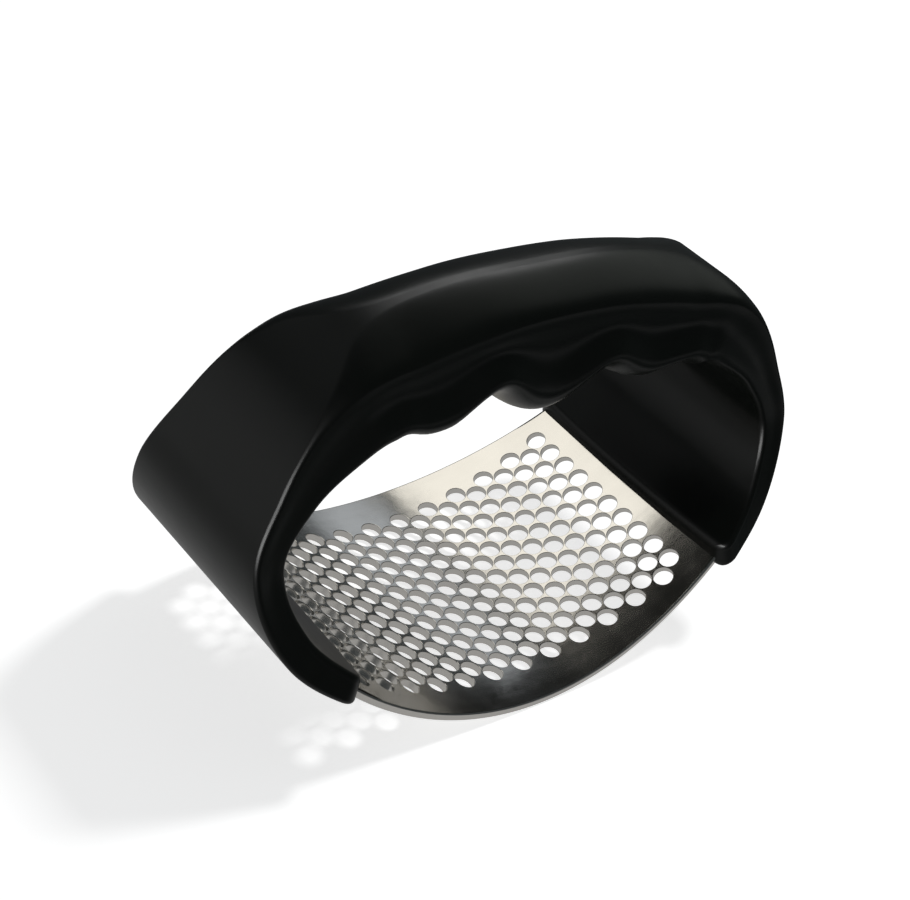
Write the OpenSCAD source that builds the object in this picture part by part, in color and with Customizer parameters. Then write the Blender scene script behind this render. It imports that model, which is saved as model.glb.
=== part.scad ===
// Rocking garlic press: a curved perforated steel plate moulded into a one-piece arch handle.
// X runs along the curve of the plate, Y runs across it and Z is up, in millimetres.
// The origin is the lowest point of the plate, where the press touches the board.

/* [Plate] */
// Radius of the plate's upper face
plate_r = 54.3; // [52:0.1:58]
// Thickness of the steel sheet
plate_t = 1.2; // [0.8:0.1:1.5]
// Arc length of the upper face from the middle to the handle
plate_arc = 36.6; // [36:0.1:38]
// Arc length of each end that is buried in the handle
tongue_len = 4; // [3:0.5:5]
// Half-width of the plate at its middle
plate_half_mid = 24.3; // [23:0.1:26]
// Half-width of the plate where it enters the handle
plate_half_end = 20.8; // [19:0.1:22]

/* [Pressing holes] */
// Diameter of a pressing hole
hole_d = 3.1; // [2:0.1:3.1]
// Distance between holes in a row
hole_pitch = 3.6; // [3.5:0.1:3.7]
// Distance between rows along the arc
row_pitch = 2.8; // [2.8:0.1:3]
// Number of rows
hole_rows = 24; // [4:2:24]
// Holes in each row
row_holes = 10; // [2:1:10]

/* [Locking holes] */
// Diameter of the holes in each buried end that the moulding fills
lock_d = 2.2; // [1.5:0.1:2.4]
// Number of locking holes in each end
lock_count = 5; // [1:1:7]
// Distance between locking holes
lock_pitch = 7; // [4:0.5:7]

/* [Handle arch] */
// Height of the arch centre above the plate's upper face
arch_z = 29.8; // [28:0.1:31]
// Angles from the top at which the sections are set
set_angle = [0, 26, 44, 50, 58, 67, 78, 90, 105, 119];
// Distance of the outer face from the arch centre at each set angle
set_radius = [28.8, 31.7, 36.8, 39.8, 42.7, 44.3, 46.4, 49, 46.3, 39.8];
// Depth of the section at each set angle
set_depth = [19, 16.3, 15.8, 15.3, 13.4, 10.6, 6.6, 4.9, 4.5, 4];

/* [Handle sections] */
// Half-width of the flat strip along the outer face at each set angle
set_flat = [0, 0, 0, 0, 6.9, 9.5, 11.1, 13.6, 18.4, 22.6];
// Half-width of the outer face with its edges at each set angle
set_crown = [8.2, 8.3, 8.6, 8.9, 9.5, 10.2, 11.8, 14.2, 19, 23.3];
// Half-width of the inner face at each set angle
set_inner = [10.4, 10.5, 10.9, 11, 11.1, 11.2, 12, 13.9, 18.2, 22.8];
// Drop from the flat strip to the flank at each set angle
set_crown_drop = [3.6, 4.2, 4.2, 3.7, 2.4, 0.9, 0.7, 0.7, 0.7, 0.7];
// Width of the rounded edge of the inner face at each set angle
set_inner_edge = [10, 9.5, 8.5, 7, 4.5, 2.4, 1.3, 1, 0.9, 0.9];
// Rise of the rounded edge of the inner face at each set angle
set_inner_rise = [5.4, 4.6, 3.8, 3.5, 2.8, 1.8, 1.1, 0.9, 0.9, 0.9];
// Squareness of the edges of the outer face at each set angle
set_square = [1.5, 1.5, 1.5, 1.5, 1.7, 2, 2, 2, 2, 2];
// Depth of the hollow along the flank at each set angle
set_hollow = [0.9, 0.9, 0.8, 0.7, 0.5, 0.4, 0.2, 0.1, 0, 0];

/* [Handle ends and finger grooves] */
// Radius of the corners at the foot of each panel
foot_corner = 3.2; // [2:0.1:6]
// Radius of the edge under each foot
foot_edge = 1.2; // [0.6:0.1:1.6]
// Lean of the end face of each foot
foot_lean = 12; // [0:1:25]
// Bow of the end face of each foot towards the middle of the plate
foot_bow = 0.8; // [0:0.1:1.2]
// Distance between the ridges of the finger grooves
groove_pitch = 20.2; // [18:0.2:22]
// Height of the ridges, half from valley to crest
groove_h = 1.5; // [0:0.1:2]
// Offset of the middle ridge along the press
groove_shift = -1.5; // [-3:0.1:3]
// Distance from the middle over which the grooves run
groove_reach = 31; // [20:0.5:32]

/* [Hidden] */
plate_outer_r = plate_r + plate_t;
plate_axis_z = plate_outer_r;
end_angle = (plate_arc + tongue_len) / plate_r * 180 / PI;
show_angle = plate_arc / plate_r * 180 / PI;
show_x = plate_r * sin(show_angle);
edge_rise = plate_half_mid - plate_half_end;
edge_spare = 2;
edge_r = (show_x * show_x + edge_rise * edge_rise) / (2 * edge_rise);
lock_angle = (plate_arc + tongue_len / 2) / plate_r * 180 / PI;
arch_rows = 80;
corner_steps = 6;
flank_steps = 5;
flat_steps = 3;
least_flat = 0.6;
last = len(set_angle) - 1;
foot_angle = set_angle[last];
row_squeeze = 84;
wide_step = 6;
least_step = 0.5;
hole_facets = 32;
bend_facets = 180;
outline_facets = 360;
least_foot = 0.05;
lean_power = 1.5;
groove_fade = 3;
groove_top = 0.3;
groove_full = 0.8;
lean_from = 85;
bow_from = 95;

// ---- steel plate ----

// A round bar through the plate, square to it, at an angle along the curve
module radial_bar(angle, y, d) {
    bar = 4 * plate_t;
    translate([0, y, plate_axis_z])
        rotate([0, 180 - angle, 0])
            translate([0, 0, plate_r - bar / 2])
                cylinder(h = bar + plate_t, d = d, $fn = hole_facets);
}

// The curved sheet between two angles each side of the middle, before the holes
module curved_sheet(half_angle, half_width) {
    translate([0, 0, plate_axis_z])
        rotate([90, 0, 0])
            rotate([0, 0, -90 - half_angle])
                translate([0, 0, -half_width])
                    rotate_extrude(angle = 2 * half_angle, $fn = bend_facets)
                        translate([plate_r, 0])
                            square([plate_t, 2 * half_width]);
}

// Plan outline whose two long edges bulge outward
module barrel_outline() {
    intersection() {
        translate([0, plate_half_mid - edge_r])
            circle(r = edge_r, $fn = outline_facets);
        translate([0, edge_r - plate_half_mid])
            circle(r = edge_r, $fn = outline_facets);
    }
}

module sheet_blank() {
    intersection() {
        curved_sheet(end_angle, plate_half_mid + edge_spare);
        translate([0, 0, -edge_spare])
            linear_extrude(plate_r)
                barrel_outline();
    }
}

module lock_bars(d) {
    for (side = [-1, 1], i = [0 : lock_count - 1])
        radial_bar(side * lock_angle, (i - (lock_count - 1) / 2) * lock_pitch, d);
}

module pressing_holes() {
    for (row = [0 : hole_rows - 1], i = [0 : row_holes - 1]) {
        arc = (row - (hole_rows - 1) / 2) * row_pitch;
        shift = (row % 2 == 0 ? -1 : 1) * hole_pitch / 4;
        radial_bar(arc / plate_r * 180 / PI, (i - (row_holes - 1) / 2) * hole_pitch + shift, hole_d);
    }
}

module plate() {
    color("silver")
        difference() {
            sheet_blank();
            pressing_holes();
            lock_bars(lock_d);
        }
}

// ---- arch handle ----

function clamp(v, low, high) = min(max(v, low), high);

// Smooth curve through the values at the set angles, level at the top of the arch
function at_knot(vals, i) = i < 0 ? vals[-i] : i > last ? 2 * vals[last] - vals[last - 1] : vals[i];
function angle_knot(i) = i < 0 ? -set_angle[-i] : i > last ? 2 * foot_angle - set_angle[last - 1] : set_angle[i];
function rate(vals, i) = (at_knot(vals, i + 1) - at_knot(vals, i - 1)) / (angle_knot(i + 1) - angle_knot(i - 1));
function span_of(a, i = 0) = i >= last - 1 || a < set_angle[i + 1] ? i : span_of(a, i + 1);
function blend(vals, i, t, h) =
    (2 * t * t * t - 3 * t * t + 1) * at_knot(vals, i)
    + (t * t * t - 2 * t * t + t) * rate(vals, i) * h
    + (3 * t * t - 2 * t * t * t) * at_knot(vals, i + 1)
    + (t * t * t - t * t) * rate(vals, i + 1) * h;
function along(vals, angle) =
    let (a = min(abs(angle), foot_angle), i = span_of(a), h = set_angle[i + 1] - set_angle[i])
    blend(vals, i, (a - set_angle[i]) / h, h);

// Outer face of the arch in side view, and its outward direction
function outer_at(a) = [along(set_radius, a) * sin(a), plate_t + arch_z + along(set_radius, a) * cos(a)];
function unit(v) = v / norm(v);
// Averaged over a wide step, so that neighbouring sections never cross on the inner side
function slope_at(a) =
    let (step = min(wide_step, foot_angle - abs(a)) + least_step)
    unit(outer_at(a + step) - outer_at(a - step));
function outward_at(a) = [-slope_at(a)[1], slope_at(a)[0]];

// Rows crowd together towards the feet, where the ends are rounded
function row_angle(i) = foot_angle * sin(row_squeeze * (2 * i / arch_rows - 1)) / sin(row_squeeze);
function foot_gap(a) = norm(outer_at(foot_angle) - outer_at(min(abs(a), foot_angle)));
function round_in(gap, r) = gap >= r ? 0 : r - sqrt(max(r * r - (r - gap) * (r - gap), 0));

// One quarter of a section, from the middle of the outer face to the middle of the inner face
function quarter(a) =
    let (
        depth = along(set_depth, a),
        drop = along(set_crown_drop, a),
        rise = along(set_inner_rise, a),
        power = 2 / along(set_square, a),
        inset = round_in(foot_gap(a), foot_corner),
        w_out = along(set_crown, a) - inset,
        w_in = along(set_inner, a) - inset,
        flat = max(along(set_flat, a) - inset, least_flat),
        edge = along(set_inner_edge, a),
        hollow = along(set_hollow, a)
    )
    concat(
        [for (k = [0 : flat_steps - 1]) [flat * k / flat_steps, 0]],
        [for (k = [0 : corner_steps]) let (q = 90 * k / corner_steps)
            [flat + (w_out - flat) * pow(sin(q), power), -drop * (1 - pow(cos(q), power))]],
        [for (k = [1 : flank_steps - 1]) let (u = k / flank_steps)
            [w_out + (w_in - w_out) * u - hollow * pow(sin(180 * u), 2),
             -drop - (depth - rise - drop) * u]],
        [for (k = [0 : corner_steps]) let (q = 90 - 90 * k / corner_steps)
            [w_in - edge * (1 - sin(q)), -(depth - rise) - rise * cos(q)]],
        [for (k = [1 : flat_steps]) [(w_in - edge) * (1 - k / flat_steps), -depth]]
    );

// Ridges on the inner face, fading out towards the panels
function ridge(x) = groove_h * cos(360 * (x - groove_shift) / groove_pitch) / (1 + exp((abs(x) - groove_reach) / groove_fade));
function deepen(n, a, depth) =
    let (squeeze = 1 - 2 * round_in(foot_gap(a), foot_edge) / depth, mid = -depth / 2)
    let (m = mid + (n - mid) * max(squeeze, least_foot))
    m - ridge(outer_at(a)[0]) * clamp((-m / depth - groove_top) / (groove_full - groove_top), 0, 1);

// Shift of a point along the arch, which leans and bows the end faces of the feet
function shift_at(a, y, d) =
    let (
        lean = pow(clamp((abs(a) - lean_from) / (foot_angle - lean_from), 0, 1), lean_power),
        bow = pow(clamp((abs(a) - bow_from) / (foot_angle - bow_from), 0, 1), 2),
        across = y / along(set_crown, a)
    )
    sign(a) * (d * tan(foot_lean) * lean + foot_bow * bow * max(1 - across * across, 0));

function section(a) =
    let (q = quarter(a), n = len(q), outline = concat(q, [for (k = [n - 2 : -1 : 1]) [-q[k][0], q[k][1]]]))
    let (o = outer_at(a), t = slope_at(a), dir = outward_at(a), depth = along(set_depth, a))
    [for (pt = outline)
        let (d = deepen(pt[1], a, depth), s = shift_at(a, pt[0], d))
        [o[0] + dir[0] * d + t[0] * s, pt[0], o[1] + dir[1] * d + t[1] * s]];

module arch_body() {
    rows = [for (i = [0 : arch_rows]) section(row_angle(i))];
    n = len(rows[0]);
    points = [for (row = rows, pt = row) pt];
    sides = [for (i = [0 : arch_rows - 1], k = [0 : n - 1])
        let (a = i * n + k, b = i * n + (k + 1) % n)
        each [[a, b, b + n], [a, b + n, a + n]]];
    start = [for (k = [n - 1 : -1 : 0]) k];
    end = [for (k = [0 : n - 1]) arch_rows * n + k];
    polyhedron(points = points, faces = concat(sides, [start, end]), convexity = 6);
}

module handle() {
    color([0.05, 0.055, 0.05])
        difference() {
            arch_body();
            difference() {
                sheet_blank();
                lock_bars(lock_d);
            }
        }
}

plate();
handle();
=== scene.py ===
import math

import bpy
import numpy as np
from mathutils import Matrix, Vector
from mathutils.geometry import delaunay_2d_cdt


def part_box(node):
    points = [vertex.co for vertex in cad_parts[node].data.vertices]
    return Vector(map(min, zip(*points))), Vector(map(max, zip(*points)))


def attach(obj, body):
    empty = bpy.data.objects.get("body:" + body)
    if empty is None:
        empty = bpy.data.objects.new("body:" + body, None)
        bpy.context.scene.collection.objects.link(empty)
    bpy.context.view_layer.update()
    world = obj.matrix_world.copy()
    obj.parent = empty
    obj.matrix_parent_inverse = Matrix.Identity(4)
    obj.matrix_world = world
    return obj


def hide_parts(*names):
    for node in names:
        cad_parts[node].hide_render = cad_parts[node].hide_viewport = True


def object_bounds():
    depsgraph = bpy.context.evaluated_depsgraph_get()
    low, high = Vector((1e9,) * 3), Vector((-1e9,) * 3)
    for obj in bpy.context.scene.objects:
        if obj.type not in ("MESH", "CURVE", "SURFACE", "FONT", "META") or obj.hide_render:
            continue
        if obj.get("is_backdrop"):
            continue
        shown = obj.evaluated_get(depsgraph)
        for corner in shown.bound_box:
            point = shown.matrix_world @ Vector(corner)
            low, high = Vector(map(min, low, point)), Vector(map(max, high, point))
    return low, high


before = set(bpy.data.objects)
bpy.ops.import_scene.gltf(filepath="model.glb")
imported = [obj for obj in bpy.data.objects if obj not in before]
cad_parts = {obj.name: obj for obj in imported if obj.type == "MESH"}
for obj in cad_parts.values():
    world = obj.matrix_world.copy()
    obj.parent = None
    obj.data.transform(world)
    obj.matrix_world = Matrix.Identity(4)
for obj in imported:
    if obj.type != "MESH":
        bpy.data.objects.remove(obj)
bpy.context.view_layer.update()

MM = 0.001

# ---------------------------------------------------------------- sizes of the CAD, in mm and degrees
PLATE_R = 54.3          # upper face of the plate
PLATE_T = 1.2
PLATE_ARC = 36.6        # arc from the middle to the handle
TONGUE = 4.0            # buried past that
HALF_MID = 24.3
HALF_END = 20.8
HOLE_D = 3.1
PITCH = 3.6
ROW_PITCH = 2.8
ROWS = 24
PER_ROW = 10

ARCH_Z = 29.8
# each list below has one value for each of these angles from the top of the arch
ANGLES = np.array([0, 26, 44, 50, 58, 67, 78, 90, 105, 119.0])
RADIUS = [28.8, 31.7, 36.8, 39.8, 42.7, 44.3, 46.4, 49, 46.3, 39.8]
DEPTH = [19, 16.3, 15.8, 15.3, 13.4, 10.6, 6.6, 4.9, 4.5, 4]
CROWN = [8.2, 8.3, 8.6, 8.9, 9.5, 10.2, 11.8, 14.2, 19, 23.3]
INNER = [10.4, 10.5, 10.9, 11, 11.1, 11.2, 12, 13.9, 18.2, 22.8]
FLAT = [0, 0, 0, 0, 6.9, 9.5, 11.1, 13.6, 18.4, 22.6]
DROP = [3.6, 4.2, 4.2, 3.7, 2.4, 0.9, 0.7, 0.7, 0.7, 0.7]
INNER_EDGE = [10, 9.5, 8.5, 7, 4.5, 2.4, 1.3, 1, 0.9, 0.9]
RISE = [5.4, 4.6, 3.8, 3.5, 2.8, 1.8, 1.1, 0.9, 0.9, 0.9]
SQUARE = [1.5, 1.5, 1.5, 1.5, 1.7, 2, 2, 2, 2, 2]
HOLLOW = [0.9, 0.9, 0.8, 0.7, 0.5, 0.4, 0.2, 0.1, 0, 0]
FOOT_CORNER = 3.2
FOOT_EDGE = 1.2
LEAST_FOOT = 0.05       # least share of the depth left at the very foot
FOOT_LEAN = 12.0
LEAN_FROM = 85.0
LEAN_POWER = 1.5
FOOT_BOW = 0.8
BOW_FROM = 95.0
GROOVE_PITCH = 20.2
GROOVE_H = 1.5
GROOVE_SHIFT = -1.5
GROOVE_REACH = 31.0
GROOVE_FADE = 3.0
GROOVE_TOP = 0.3
GROOVE_FULL = 0.8
LEAST_FLAT = 0.6
WIDE_STEP = 6.0
LEAST_STEP = 0.5

# ---------------------------------------------------------------- sizes that only this model has
ROWS_CLOSE_UP = 86      # how far the loft's sections crowd towards the feet, in degrees
EASE_LENGTH = 4.5       # arc over which the back of the grip is eased
EASE_DEPTH = 0.4        # share of the depth that the easing reaches
EASE_TO = 74.0          # angle at which the easing has faded out
EASE_FADE = 12.0
HOLE_RIM = 0.09         # rounding at the rims of the holes
EDGE_RIM = 0.3          # rounding of the plate's outer edge
RIM_STEPS = 4
HOLE_POINTS = 40
LONG_EDGE_POINTS = 141
SHORT_EDGE_POINTS = 61
FILL_ALONG = 0.9        # spacing of the points in the plain margins
FILL_ACROSS = 1.2
FILL_FROM_EDGE = 0.4
FILL_FROM_HOLE = 0.35
TINY = 1e-4


# ---------------------------------------------------------------- handle
def along(vals, angle):
    """Smooth curve through the values at the set angles, level at the top of the arch."""
    v = np.asarray(vals, float)
    x = np.concatenate([[-ANGLES[1]], ANGLES, [2 * ANGLES[-1] - ANGLES[-2]]])
    v = np.concatenate([[v[1]], v, [2 * v[-1] - v[-2]]])
    a = np.clip(np.abs(angle), 0, ANGLES[-1] - 1e-9)
    i = np.clip(np.searchsorted(ANGLES, a, side="right") - 1, 0, len(ANGLES) - 2)
    h = ANGLES[i + 1] - ANGLES[i]
    t = (a - ANGLES[i]) / h
    m0 = (v[i + 2] - v[i]) / (x[i + 2] - x[i]) * h
    m1 = (v[i + 3] - v[i + 1]) / (x[i + 3] - x[i + 1]) * h
    return ((2 * t**3 - 3 * t**2 + 1) * v[i + 1] + (t**3 - 2 * t**2 + t) * m0
            + (3 * t**2 - 2 * t**3) * v[i + 2] + (t**3 - t**2) * m1)


def outer_at(a):
    """Point of the outer face at an angle from the top, as x and z."""
    r, t = along(RADIUS, a), np.radians(a)
    return np.stack([r * np.sin(t), PLATE_T + ARCH_Z + r * np.cos(t)], -1)


def round_in(gap, r):
    """How far a corner of radius r draws in at a distance from the end."""
    return np.where(gap < r, r - np.sqrt(np.maximum(r * r - (r - gap) ** 2, 0)), 0.0)


def handle_points(rows=241, corner=14, flank=12, level=8):
    """Loft of the arch: rows of closed sections, with points per corner, flank and level stretch."""
    end = ANGLES[-1]
    squeeze = math.radians(ROWS_CLOSE_UP)
    a = end * np.sin(squeeze * np.linspace(-1, 1, rows)) / math.sin(squeeze)
    o = outer_at(a)
    step = np.minimum(WIDE_STEP, end - np.abs(a)) + LEAST_STEP
    d = outer_at(np.minimum(a + step, end)) - outer_at(np.maximum(a - step, -end))
    # the outer face carries on straight past its last set angle
    tip = outer_at(np.array([end])) - outer_at(np.array([end - LEAST_STEP]))
    d[-1], d[0] = tip[0], [tip[0][0], -tip[0][1]]
    t = d / np.linalg.norm(d, axis=1)[:, None]
    out = np.stack([-t[:, 1], t[:, 0]], -1)
    length = np.concatenate([[0], np.cumsum(np.linalg.norm(np.diff(o, axis=0), axis=1))])
    gap = np.minimum(length, length[-1] - length)
    depth, drop, rise = along(DEPTH, a), along(DROP, a), along(RISE, a)
    power = (2 / along(SQUARE, a))[:, None]
    inset = round_in(gap, FOOT_CORNER)
    w_out = (along(CROWN, a) - inset)[:, None]
    w_in = (along(INNER, a) - inset)[:, None]
    hollow = along(HOLLOW, a)[:, None]
    flat = np.maximum(along(FLAT, a) - inset, LEAST_FLAT)[:, None]
    edge = along(INNER_EDGE, a)[:, None]
    q = np.linspace(0, math.pi / 2, corner)[None]
    u = np.linspace(0, 1, flank)[None, 1:-1]
    f = np.linspace(0, 1, level)[None, :-1]
    c, s = np.maximum(np.cos(q), 0), np.sin(q)
    D, K, L = depth[:, None], drop[:, None], rise[:, None]
    y = np.concatenate([flat * f, flat + (w_out - flat) * s**power,
                        w_out + (w_in - w_out) * u - hollow * np.sin(math.pi * u) ** 2,
                        (w_in - edge * (1 - s))[:, ::-1], ((w_in - edge) * f)[:, ::-1]], 1)
    n = np.concatenate([0 * flat * f, -K * (1 - c**power), -K - (D - L - K) * u,
                        (-(D - L) - L * c)[:, ::-1], (-D + 0 * f)[:, ::-1]], 1)
    thin = np.maximum(1 - 2 * round_in(gap, FOOT_EDGE)[:, None] / D, LEAST_FOOT)
    n = -D / 2 + (n + D / 2) * thin
    x0 = o[:, :1]
    wave = GROOVE_H * np.cos(2 * math.pi * (x0 - GROOVE_SHIFT) / GROOVE_PITCH)
    ridge = wave / (1 + np.exp((np.abs(x0) - GROOVE_REACH) / GROOVE_FADE))
    n = n - ridge * np.clip((-n / D - GROOVE_TOP) / (GROOVE_FULL - GROOVE_TOP), 0, 1)
    y = np.concatenate([y, -y[:, -2:0:-1]], 1)
    n = np.concatenate([n, n[:, -2:0:-1]], 1)
    lean_share = np.clip((np.abs(a) - LEAN_FROM) / (end - LEAN_FROM), 0, 1)
    lean = math.tan(math.radians(FOOT_LEAN)) * lean_share ** LEAN_POWER
    bow = FOOT_BOW * np.clip((np.abs(a) - BOW_FROM) / (end - BOW_FROM), 0, 1) ** 2
    across = np.maximum(1 - (y / along(CROWN, a)[:, None]) ** 2, 0)
    shift = np.sign(a)[:, None] * (n * lean[:, None] + bow[:, None] * across)
    x = o[:, :1] + out[:, :1] * n + t[:, :1] * shift
    z = o[:, 1:] + out[:, 1:] * n + t[:, 1:] * shift
    points = np.stack([x, y, z], -1)
    # the back of the grip is eased along the arch, so that its outline runs without a ripple
    share = np.gradient(length)[None]
    blend = share * np.exp(-((length[:, None] - length[None]) / EASE_LENGTH) ** 2 / 2)
    blend /= blend.sum(1)[:, None]
    eased = np.einsum("ij,jkc->ikc", blend, points)
    weight = (np.clip(1 + n / depth[:, None] / EASE_DEPTH, 0, 1)
              * np.clip((EASE_TO - np.abs(a)) / EASE_FADE, 0, 1)[:, None])
    return points + weight[:, :, None] * (eased - points)


def new_object(name, verts, faces):
    mesh = bpy.data.meshes.new(name)
    mesh.from_pydata([tuple(v) for v in verts], [], faces)
    mesh.validate()
    mesh.shade_smooth()
    obj = bpy.data.objects.new(name, mesh)
    bpy.context.scene.collection.objects.link(obj)
    return obj


def make_handle():
    p = handle_points()
    rows, n = p.shape[:2]
    # the mesh fills the same box as the CAD handle
    v = p.reshape(-1, 3) * MM
    lo, hi = (np.array(c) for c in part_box("handle"))
    mine_lo, mine_hi = v.min(0), v.max(0)
    v = lo + (v - mine_lo) * (hi - lo) / (mine_hi - mine_lo)
    faces = []
    for i in range(rows - 1):
        for k in range(n):
            a, b = i * n + k, i * n + (k + 1) % n
            faces.append((a, a + n, b + n, b))
    faces.append(tuple(range(n)))
    faces.append(tuple((rows - 1) * n + k for k in range(n - 1, -1, -1)))
    return new_object("arch_handle", v, faces)


# ---------------------------------------------------------------- plate
def on_sheet(s, y, depth):
    """A point of the flat sheet bent to the plate's radius; depth is 0 at the upper face."""
    a = s / PLATE_R
    r = PLATE_R + depth
    return np.stack([r * np.sin(a), y, PLATE_R + PLATE_T - r * np.cos(a)], -1)


def half_width(s):
    """Half-width of the plate at an arc length from the middle: its long edges are arcs."""
    x = PLATE_R * np.sin(s / PLATE_R)
    x1 = PLATE_R * math.sin(PLATE_ARC / PLATE_R)
    rise = HALF_MID - HALF_END
    r = (x1 * x1 + rise * rise) / (2 * rise)
    return HALF_MID - r + np.sqrt(r * r - x * x)


def hole_centres():
    """Centres of the staggered holes on the flat sheet."""
    c = []
    for row in range(ROWS):
        for i in range(PER_ROW):
            shift = (-1 if row % 2 == 0 else 1) * PITCH / 4
            c.append(((row - (ROWS - 1) / 2) * ROW_PITCH, (i - (PER_ROW - 1) / 2) * PITCH + shift))
    return np.array(c)


def make_plate():
    end = PLATE_ARC + TONGUE
    hole_r = HOLE_D / 2 + HOLE_RIM
    centres = hole_centres()
    pts, edges = [], []

    def loop(points):
        start = len(pts)
        pts.extend(points)
        m = len(points)
        edges.extend((start + i, start + (i + 1) % m) for i in range(m))
        return list(range(start, start + m))

    s = np.linspace(-end, end, LONG_EDGE_POINTS)
    w = half_width(s)
    front = np.stack([s, -w], -1)
    side = np.linspace(-1, 1, SHORT_EDGE_POINTS)[1:-1]
    right = np.stack([np.full(side.shape, end), side * w[-1]], -1)
    rear = np.stack([s, w], -1)[::-1]
    left = np.stack([np.full(side.shape, -end), side[::-1] * w[0]], -1)
    outline = np.concatenate([front, right, rear, left])
    # inward direction of the outline, for the rounded edge
    nxt, prv = np.roll(outline, -1, 0), np.roll(outline, 1, 0)
    tang = (nxt - prv) / np.linalg.norm(nxt - prv, axis=1)[:, None]
    inward = np.stack([-tang[:, 1], tang[:, 0]], -1)
    rim_in = outline + inward * EDGE_RIM
    outer_ids = loop([tuple(q) for q in rim_in])
    ang = np.linspace(0, 2 * math.pi, HOLE_POINTS, endpoint=False)
    ring = np.stack([np.cos(ang), np.sin(ang)], -1)
    hole_ids = [loop([tuple(c + ring_p * hole_r) for ring_p in ring]) for c in centres]
    # filler points in the plain margins keep the sheet evenly curved
    gs, gy = np.meshgrid(np.arange(-end + 1, end - 0.5, FILL_ALONG),
                         np.arange(-HALF_MID, HALF_MID, FILL_ACROSS))
    cand = np.stack([gs.ravel(), gy.ravel()], -1)
    keep = np.abs(cand[:, 1]) < half_width(cand[:, 0]) - EDGE_RIM - FILL_FROM_EDGE
    dist = np.sqrt(((cand[:, None] - centres[None]) ** 2).sum(-1)).min(1)
    cand = cand[keep & (dist > hole_r + FILL_FROM_HOLE)]
    pts.extend(tuple(c) for c in cand)
    flat, _, tris, _, _, _ = delaunay_2d_cdt([Vector(q) for q in pts], edges, [], 0, 1e-6)
    flat = np.array([tuple(q) for q in flat])
    tris = np.array([t for t in tris if len(t) == 3])
    mid = flat[tris].mean(1)
    # what lies nearer to a hole's centre than the flats of its outline is the hole itself
    from_hole = np.sqrt(((mid[:, None] - centres[None]) ** 2).sum(-1)).min(1)
    inside = from_hole > hole_r * math.cos(math.pi / HOLE_POINTS) - TINY
    inside &= np.abs(mid[:, 1]) < half_width(mid[:, 0])
    tris = tris[inside]
    # orientation: upper face looks to the bending centre
    a, b, c = (flat[tris[:, i]] for i in range(3))
    area = (b[:, 0] - a[:, 0]) * (c[:, 1] - a[:, 1]) - (b[:, 1] - a[:, 1]) * (c[:, 0] - a[:, 0])
    tris[area < 0] = tris[area < 0][:, ::-1]

    verts, normals, faces = [], [], []

    def add(s_, y_, depth, tilt, side_dir):
        """Points with normals that tilt from up (0) to down (pi) through side_dir in the sheet."""
        s_, y_, tilt = np.broadcast_arrays(np.asarray(s_, float), y_, np.asarray(tilt, float))
        p = on_sheet(s_, y_, depth)
        al = s_ / PLATE_R
        up = np.stack([-np.sin(al), np.zeros_like(al), np.cos(al)], -1)
        ts = np.stack([np.cos(al), np.zeros_like(al), np.sin(al)], -1)
        ty = np.broadcast_to(np.array([0.0, 1.0, 0.0]), up.shape)
        sd = np.asarray(side_dir, float)
        aside = ts * sd[..., :1] + ty * sd[..., 1:]
        nrm = up * np.cos(tilt)[..., None] + aside * np.sin(tilt)[..., None]
        start = len(verts)
        verts.extend(p.tolist())
        normals.extend(nrm.tolist())
        return start

    zero = np.zeros((len(flat), 2))
    top = add(flat[:, 0], flat[:, 1], 0.0, 0.0, zero)
    bottom = add(flat[:, 0], flat[:, 1], PLATE_T, math.pi, zero)
    faces.extend((top + int(t[0]), top + int(t[1]), top + int(t[2])) for t in tris)
    faces.extend((bottom + int(t[2]), bottom + int(t[1]), bottom + int(t[0])) for t in tris)

    def skirt(first, base, direction, r, closed_dir):
        """Walls from an upper loop to the lower one over a rounded rim."""
        m = len(base)
        profile = []
        for k in range(1, RIM_STEPS + 1):
            t = 0.5 * math.pi * k / RIM_STEPS
            profile.append((r * math.sin(t), r * (1 - math.cos(t)), t))
        rows_ = []
        for go, dep, t in profile:
            q = base + direction * go
            rows_.append(add(q[:, 0], q[:, 1], dep, np.full(m, t), direction))
        for go, dep, t in reversed(profile):
            q = base + direction * go
            rows_.append(add(q[:, 0], q[:, 1], PLATE_T - dep, np.full(m, math.pi - t), direction))
        top_ids = [top + i for i in first]
        low_ids = [bottom + i for i in first]
        chain = [top_ids] + [[r0 + i for i in range(m)] for r0 in rows_] + [low_ids]
        for u_, l_ in zip(chain[:-1], chain[1:]):
            for i in range(m):
                j = (i + 1) % m
                quad = (u_[i], l_[i], l_[j], u_[j])
                faces.append(quad if closed_dir > 0 else quad[::-1])

    skirt(outer_ids, rim_in, -inward, EDGE_RIM, 1)
    for c, ids in zip(centres, hole_ids):
        skirt(ids, c + ring * hole_r, -ring, HOLE_RIM, -1)
    v = np.array(verts) * MM
    obj = new_object("perforated_plate", v, faces)
    mesh = obj.data
    if len(mesh.vertices) == len(normals):
        mesh.normals_split_custom_set_from_vertices([tuple(q) for q in normals])
    return obj


# ---------------------------------------------------------------- materials
def nodes_of(name):
    """A new material with its node tree and its main shader."""
    mat = bpy.data.materials.new(name)
    mat.use_nodes = True
    nt = mat.node_tree
    return mat, nt, nt.nodes["Principled BSDF"]


def link(nt, a, out, b, inp):
    nt.links.new(a.outputs[out], b.inputs[inp])


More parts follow.
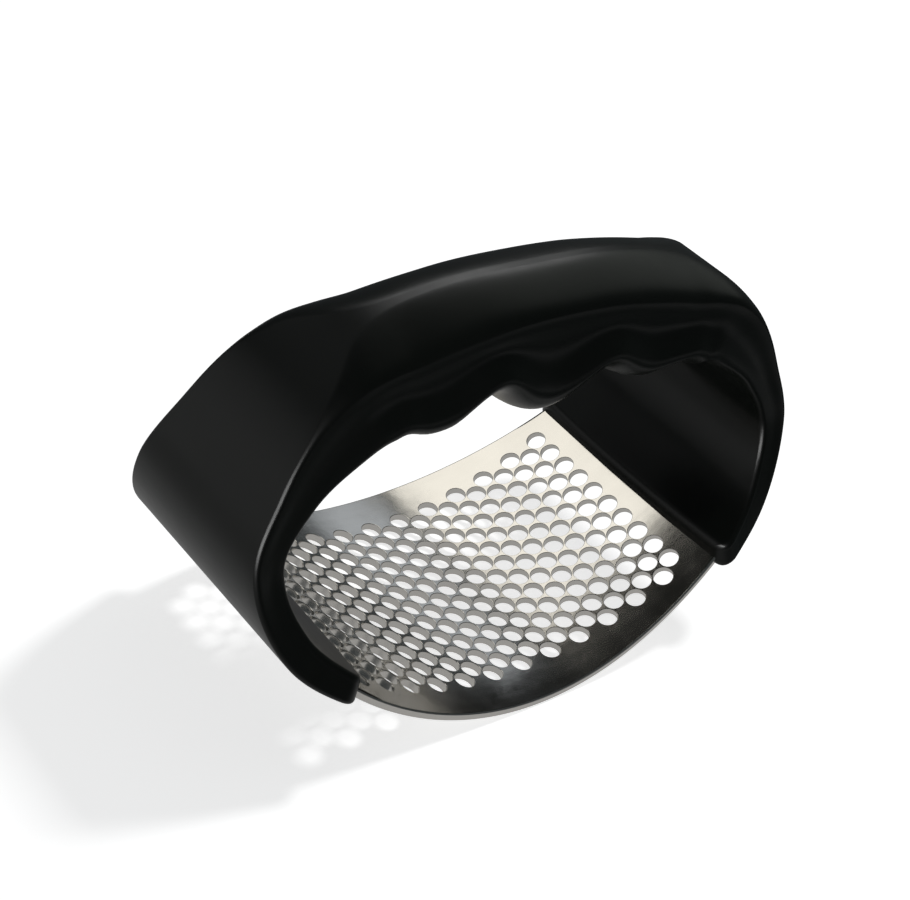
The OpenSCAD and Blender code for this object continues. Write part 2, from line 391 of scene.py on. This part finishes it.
def noise(nt, scale, detail=2.0, rough=0.5, coords=None, stretch=None):
    tex = nt.nodes.new("ShaderNodeTexNoise")
    tex.inputs["Scale"].default_value = scale
    tex.inputs["Detail"].default_value = detail
    tex.inputs["Roughness"].default_value = rough
    if stretch is not None:
        mp = nt.nodes.new("ShaderNodeMapping")
        mp.inputs["Scale"].default_value = stretch
        link(nt, coords, "Object", mp, "Vector")
        link(nt, mp, "Vector", tex, "Vector")
    else:
        link(nt, coords, "Object", tex, "Vector")
    return tex


def bump(nt, height, strength, distance):
    node = nt.nodes.new("ShaderNodeBump")
    node.inputs["Strength"].default_value = strength
    node.inputs["Distance"].default_value = distance
    link(nt, height, "Fac", node, "Height")
    return node


def ramp(nt, lo, hi, a, b):
    """Maps values from lo..hi to a..b."""
    r = nt.nodes.new("ShaderNodeMapRange")
    r.inputs["From Min"].default_value = lo
    r.inputs["From Max"].default_value = hi
    r.inputs["To Min"].default_value = a
    r.inputs["To Max"].default_value = b
    return r


def black_plastic():
    mat, nt, bsdf = nodes_of("moulded_black_plastic")
    co = nt.nodes.new("ShaderNodeTexCoord")
    bsdf.inputs["Specular IOR Level"].default_value = 0.2
    bsdf.inputs["IOR"].default_value = 1.49
    # colour: near black with a slow green-grey drift
    drift = noise(nt, 38, 3, 0.55, co)
    mix = nt.nodes.new("ShaderNodeMix")
    mix.data_type = "RGBA"
    mix.inputs["A"].default_value = (0.0022, 0.0029, 0.0023, 1)
    mix.inputs["B"].default_value = (0.0038, 0.0050, 0.0039, 1)
    link(nt, drift, "Fac", mix, "Factor")
    link(nt, mix, "Result", bsdf, "Base Color")
    # roughness: cloudy polish plus fine rubbing marks
    cloud = noise(nt, 55, 4, 0.6, co)
    rub = noise(nt, 420, 3, 0.6, co, (1.0, 0.25, 1.0))
    add = nt.nodes.new("ShaderNodeMath")
    add.operation = "MULTIPLY_ADD"
    add.inputs[1].default_value = 0.35
    link(nt, rub, "Fac", add, 0)
    link(nt, cloud, "Fac", add, 2)
    rr = ramp(nt, 0.4, 0.95, 0.27, 0.37)
    link(nt, add, "Value", rr, "Value")
    link(nt, rr, "Result", bsdf, "Roughness")
    # bump: faint mould texture and a slower waviness of the moulded skin
    fine = noise(nt, 2600, 2, 0.5, co)
    slow = noise(nt, 90, 2, 0.5, co)
    b1 = bump(nt, fine, strength=0.05, distance=0.00004)
    b2 = bump(nt, slow, strength=0.12, distance=0.0003)
    link(nt, b1, "Normal", b2, "Normal")
    link(nt, b2, "Normal", bsdf, "Normal")
    return mat


def steel():
    mat, nt, bsdf = nodes_of("polished_stainless_steel")
    co = nt.nodes.new("ShaderNodeTexCoord")
    bsdf.inputs["Metallic"].default_value = 1.0
    tone = noise(nt, 45, 3, 0.6, co)
    mix = nt.nodes.new("ShaderNodeMix")
    mix.data_type = "RGBA"
    mix.inputs["A"].default_value = (0.66, 0.64, 0.60, 1)
    mix.inputs["B"].default_value = (0.76, 0.74, 0.70, 1)
    link(nt, tone, "Fac", mix, "Factor")
    link(nt, mix, "Result", bsdf, "Base Color")
    grain = noise(nt, 900, 4, 0.65, co, (0.05, 1.0, 0.05))
    blot = noise(nt, 120, 3, 0.6, co)
    add = nt.nodes.new("ShaderNodeMath")
    add.operation = "MULTIPLY_ADD"
    add.inputs[1].default_value = 0.5
    link(nt, grain, "Fac", add, 0)
    link(nt, blot, "Fac", add, 2)
    rr = ramp(nt, 0.45, 1.0, 0.13, 0.24)
    link(nt, add, "Value", rr, "Value")
    link(nt, rr, "Result", bsdf, "Roughness")
    b1 = bump(nt, grain, strength=0.06, distance=0.00003)
    b2 = bump(nt, blot, strength=0.25, distance=0.0002)
    link(nt, b1, "Normal", b2, "Normal")
    link(nt, b2, "Normal", bsdf, "Normal")
    return mat


# ---------------------------------------------------------------- build
handle = make_handle()
handle.data.materials.append(black_plastic())
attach(handle, "root")
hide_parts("handle")

plate = make_plate()
plate.data.materials.append(steel())
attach(plate, "root")
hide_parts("plate")

# ---------------------------------------------------------------- stage
lo, hi = (np.array(c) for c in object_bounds())
mid = (lo + hi) / 2
size = float(np.linalg.norm(hi - lo))
FLOOR_GAP = 0.00002     # lengths in metres
FLOOR_REACH = 40        # in sizes of the press
TABLE_FAR = 1.6
TABLE_FRONT = 0.045
TABLE_SIDE = 0.06
TABLE_GAP = 0.0005
LIGHT_REACH = 8.0       # in sizes of the press
PALE_GREEN = (0.95, 1.0, 0.93)
PALE_BLUE = (0.86, 0.92, 1.0)
CREAM = (1, 0.97, 0.9)


def flat_card(name, x0, y0, x1, y1, z, base, glow):
    """A level rectangle of dull paint that reflects a share of the light and glows a little."""
    mesh = bpy.data.meshes.new(name)
    mesh.from_pydata([(x0, y0, z), (x1, y0, z), (x1, y1, z), (x0, y1, z)], [], [(0, 1, 2, 3)])
    obj = bpy.data.objects.new(name, mesh)
    bpy.context.scene.collection.objects.link(obj)
    mat, nt, bsdf = nodes_of(name + "_paint")
    bsdf.inputs["Base Color"].default_value = (base, base, base, 1)
    bsdf.inputs["Roughness"].default_value = 0.9
    bsdf.inputs["Specular IOR Level"].default_value = 0.0
    bsdf.inputs["Emission Color"].default_value = (1, 1, 1, 1)
    bsdf.inputs["Emission Strength"].default_value = glow
    mesh.materials.append(mat)
    obj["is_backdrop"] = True
    return obj


def toward(turn, tilt):
    """Unit direction at a turn from -Y towards +X and a tilt above level, in degrees."""
    a, e = math.radians(turn), math.radians(tilt)
    return Vector((math.sin(a) * math.cos(e), -math.cos(a) * math.cos(e), math.sin(e)))


def soft_light(name, direction, wide, high, radiance, color=(1, 1, 1), gloss=True, diffuse=True, only=None):
    """A rectangular soft light far out in a direction, sized by the angles it fills."""
    distance = LIGHT_REACH * size
    data = bpy.data.lights.new(name, "AREA")
    data.shape = "RECTANGLE"
    data.size = 2 * distance * math.tan(math.radians(wide / 2))
    data.size_y = 2 * distance * math.tan(math.radians(high / 2))
    data.energy = radiance * data.size * data.size_y * math.pi
    data.color = color
    obj = bpy.data.objects.new(name, data)
    obj.location = Vector(mid) + direction * distance
    obj.rotation_euler = (-direction).to_track_quat("-Z", "Y").to_euler()
    bpy.context.scene.collection.objects.link(obj)
    obj.visible_glossy = gloss
    obj.visible_diffuse = diffuse
    if only is not None:
        group = bpy.data.collections.new(name + "_receivers")
        group.objects.link(only)
        obj.light_linking.receiver_collection = group
    return obj


def mirrored(name, piece, direction, wide, high, radiance, color=(1, 1, 1)):
    """A soft light that only one piece sees, and only as a reflection."""
    return soft_light(name, direction, wide, high, radiance, color, diffuse=False, only=piece)


floor_z = float(lo[2]) - FLOOR_GAP
far = FLOOR_REACH * size
floor = flat_card("floor", -far, -far, far, far, floor_z, base=0.8, glow=0.73)
floor.visible_glossy = False
# what the pieces mirror below them is a smaller, greyer table top
table = flat_card("table_top", -TABLE_FAR, -TABLE_FRONT, TABLE_SIDE, TABLE_FAR,
                  floor_z - TABLE_GAP, base=0.0, glow=0.42)
table.visible_camera = False
table.visible_diffuse = False
table.visible_shadow = False

# a small lamp throws the soft shadow and a wide one fills the floor; neither is mirrored
soft_light("shadow_lamp", toward(100, 58), wide=9.5, high=9.5, radiance=46, gloss=False)
soft_light("floor_fill", toward(0, 90), wide=58, high=58, radiance=0.25, gloss=False)
# the others are seen only as reflections, each in one piece
mirrored("ridge_strip", handle, toward(139, 38), wide=26, high=12, radiance=5.0)
mirrored("side_card", handle, toward(100, 42), wide=40, high=44, radiance=0.6, color=PALE_GREEN)
mirrored("panel_card", handle, toward(240, 8), wide=50, high=30, radiance=0.7)
mirrored("panel_top_card", handle, toward(205, 45), wide=40, high=30, radiance=0.3)
mirrored("crease_strip", handle, toward(296, 12), wide=54, high=20, radiance=18.0)
mirrored("front_card", handle, toward(43, -10), wide=24, high=8, radiance=0.5)
mirrored("cream_wall", plate, toward(186, 58), wide=56, high=38, radiance=1.2, color=CREAM)
mirrored("blue_card", plate, toward(133, 31), wide=14, high=20, radiance=0.5, color=PALE_BLUE)

world = bpy.data.worlds.new("studio")
world.use_nodes = True
bg = world.node_tree.nodes["Background"]
bg.inputs["Color"].default_value = (0.85, 0.95, 1.0, 1)
bg.inputs["Strength"].default_value = 0.06
bpy.context.scene.world = world

# ---------------------------------------------------------------- camera
CAMERA_TURN = -46.95    # from the front, in degrees
CAMERA_TILT = 33.67     # above level
CAMERA_ROLL = 15.46
CAMERA_TARGET = (-3.55, 2.41, 27.57)    # in millimetres
CAMERA_DISTANCE = 250.0
CAMERA_LENS = 69.4
CAMERA_SENSOR = 36.0
CAMERA_NEAR = 0.01      # in metres

azimuth, elevation, roll = (math.radians(v) for v in (CAMERA_TURN, CAMERA_TILT, CAMERA_ROLL))
ca, sa, ce, se = math.cos(azimuth), math.sin(azimuth), math.cos(elevation), math.sin(elevation)
back = Vector((sa * ce, -ca * ce, se))
flat_right = Vector((ca, sa, 0))
flat_up = Vector((-sa * se, ca * se, ce))
right = flat_right * math.cos(roll) + flat_up * math.sin(roll)
up = flat_up * math.cos(roll) - flat_right * math.sin(roll)
target = Vector(CAMERA_TARGET) * MM
distance = CAMERA_DISTANCE * MM
cam_data = bpy.data.cameras.new("camera")
cam_data.sensor_width = CAMERA_SENSOR
cam_data.lens = CAMERA_LENS
cam_data.clip_start = CAMERA_NEAR
cam = bpy.data.objects.new("camera", cam_data)
bpy.context.scene.collection.objects.link(cam)
turned = Matrix((right, up, back)).transposed().to_4x4()
cam.matrix_world = Matrix.Translation(target + back * distance) @ turned
bpy.context.scene.camera = cam
bpy.context.scene.view_settings.view_transform = "Standard"
